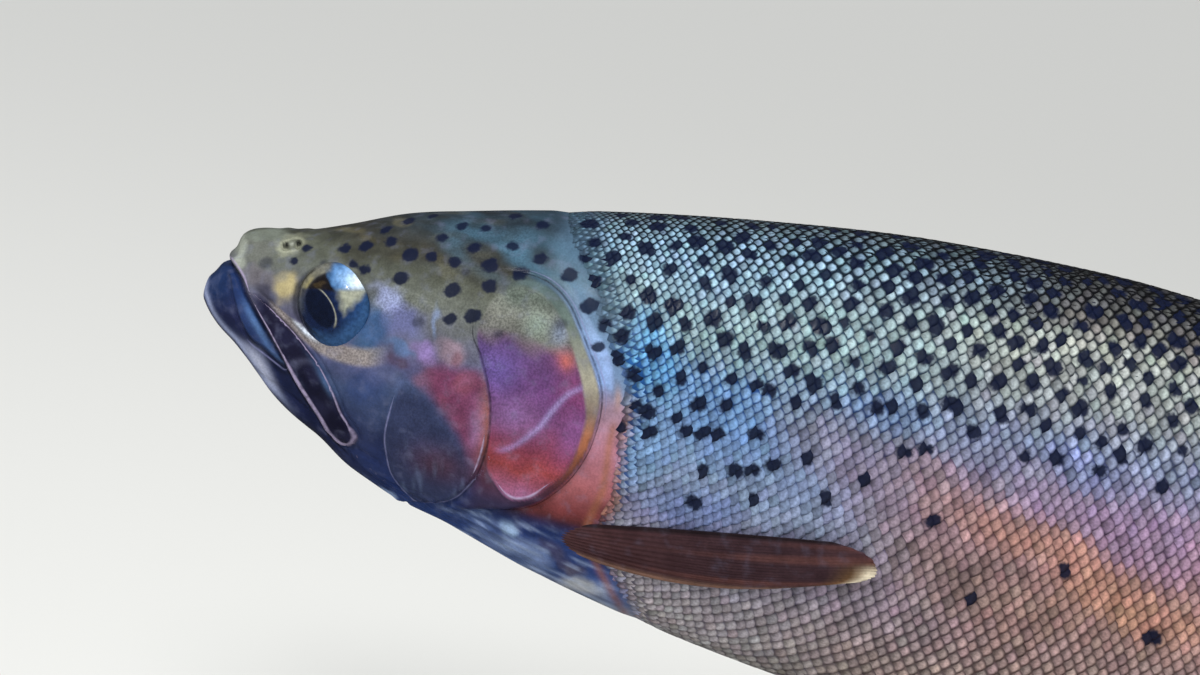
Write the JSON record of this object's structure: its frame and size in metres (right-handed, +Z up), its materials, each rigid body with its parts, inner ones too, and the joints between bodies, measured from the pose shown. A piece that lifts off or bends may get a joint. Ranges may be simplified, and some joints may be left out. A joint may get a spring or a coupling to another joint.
{
  "type": "rainbow trout, life-size model on a display stand",
  "caption": "Life-size rainbow trout held level above a flat base by two short rods, tail swept gently to one side.",
  "frame": {"origin": "middle of the display base's underside, which is the surface the part stands on", "axes": "+X runs from the fish's head to its tail, -Y is the fish's left side, +Z is up"},
  "size_m": [0.5284, 0.116, 0.2179],
  "materials": {
    "head_skin": "wet, smooth, olive with round black spots",
    "jaw_skin": "wet, smooth, dark steel blue with pale edges",
    "gill_cover_skin": "wet, rose pink to purple",
    "scaled_skin": "wet scales, silvery blue-grey with black spots",
    "eye": "high gloss, dark pupil in a gold and blue iris",
    "spotted_fin": "wet, rayed, olive with black spots",
    "pale_fin": "wet, rayed, pinkish tan with a pale edge",
    "dark_fin": "wet, rayed, dark brown with an orange-tan edge",
    "stand_wood": "satin oiled walnut",
    "stand_brass": "satin turned brass"
  },
  "bodies": {
    "root": {"head": "head_skin", "lower_jaw": "jaw_skin", "maxilla_left": "jaw_skin", "maxilla_right": "jaw_skin", "gill_cover_left": "gill_cover_skin", "gill_cover_right": "gill_cover_skin", "eye_left": "eye", "eye_right": "eye", "trunk_front": "scaled_skin", "trunk_rear": "scaled_skin", "tail_stalk": "scaled_skin", "tail_fin": "spotted_fin", "dorsal_fin": "spotted_fin", "adipose_fin": "spotted_fin", "anal_fin": "pale_fin", "pectoral_fin_left": "dark_fin", "pectoral_fin_right": "dark_fin", "pelvic_fin_left": "pale_fin", "pelvic_fin_right": "pale_fin", "stand_base": "stand_wood", "stand_rod_front": "stand_brass", "stand_rod_rear": "stand_brass"}
  },
  "joints": []
}
